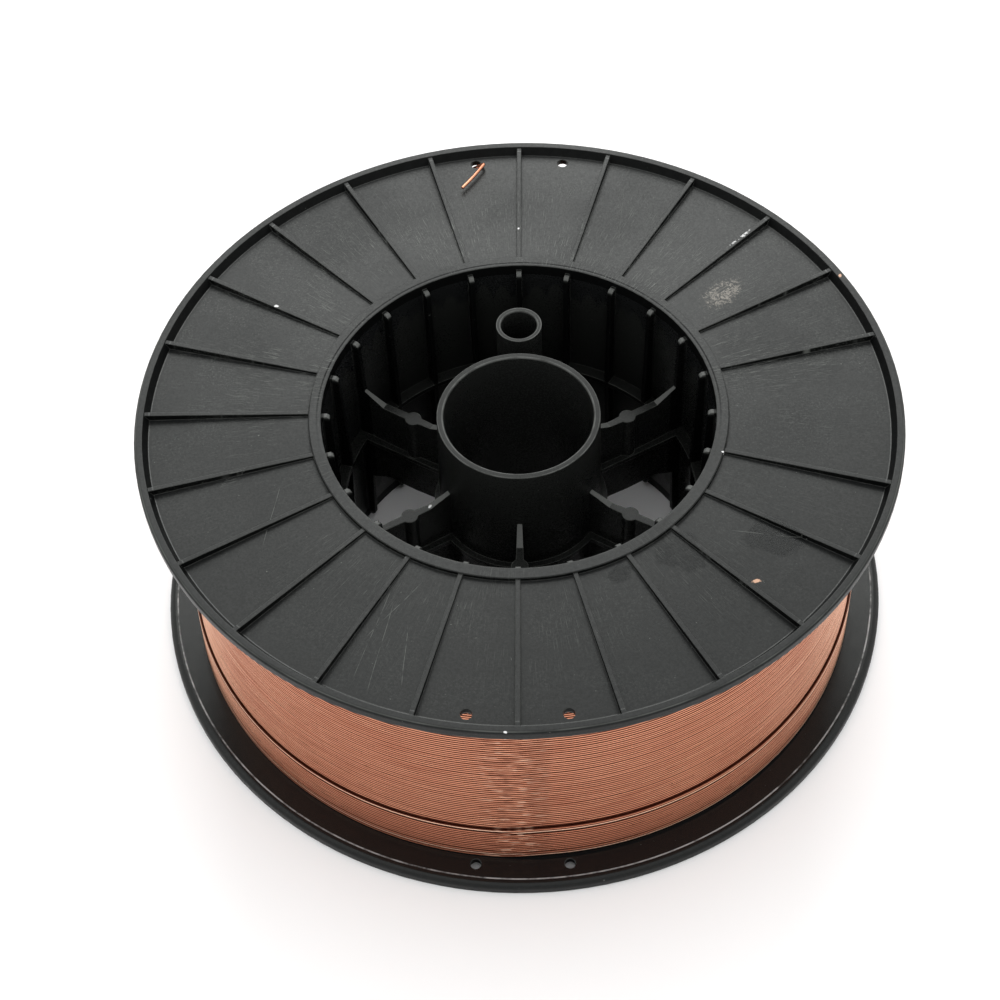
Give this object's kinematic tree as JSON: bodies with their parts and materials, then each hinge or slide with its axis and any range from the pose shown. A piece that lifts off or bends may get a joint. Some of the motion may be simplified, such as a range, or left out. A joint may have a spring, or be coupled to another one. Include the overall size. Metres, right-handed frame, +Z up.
{
  "type": "welding wire spool",
  "caption": "Ribbed black plastic spool with a hub bore and a driver hole in an open spoked recess, wound full with copper-coated steel welding wire.",
  "frame": {"origin": "on the spool's axis, at the face of the lower flange that the spool lies on", "axes": "+Z up along the spool's axis; +Y from the axis towards the driver hole; +X towards the flange panel without a rib"},
  "size_m": [0.27, 0.27, 0.103],
  "materials": {
    "black_plastic": "satin, scuffed",
    "copper_coated_wire": "bright drawn, copper-coated"
  },
  "bodies": {
    "root": {"spool": "black_plastic", "welding_wire": "copper_coated_wire"}
  },
  "joints": []
}
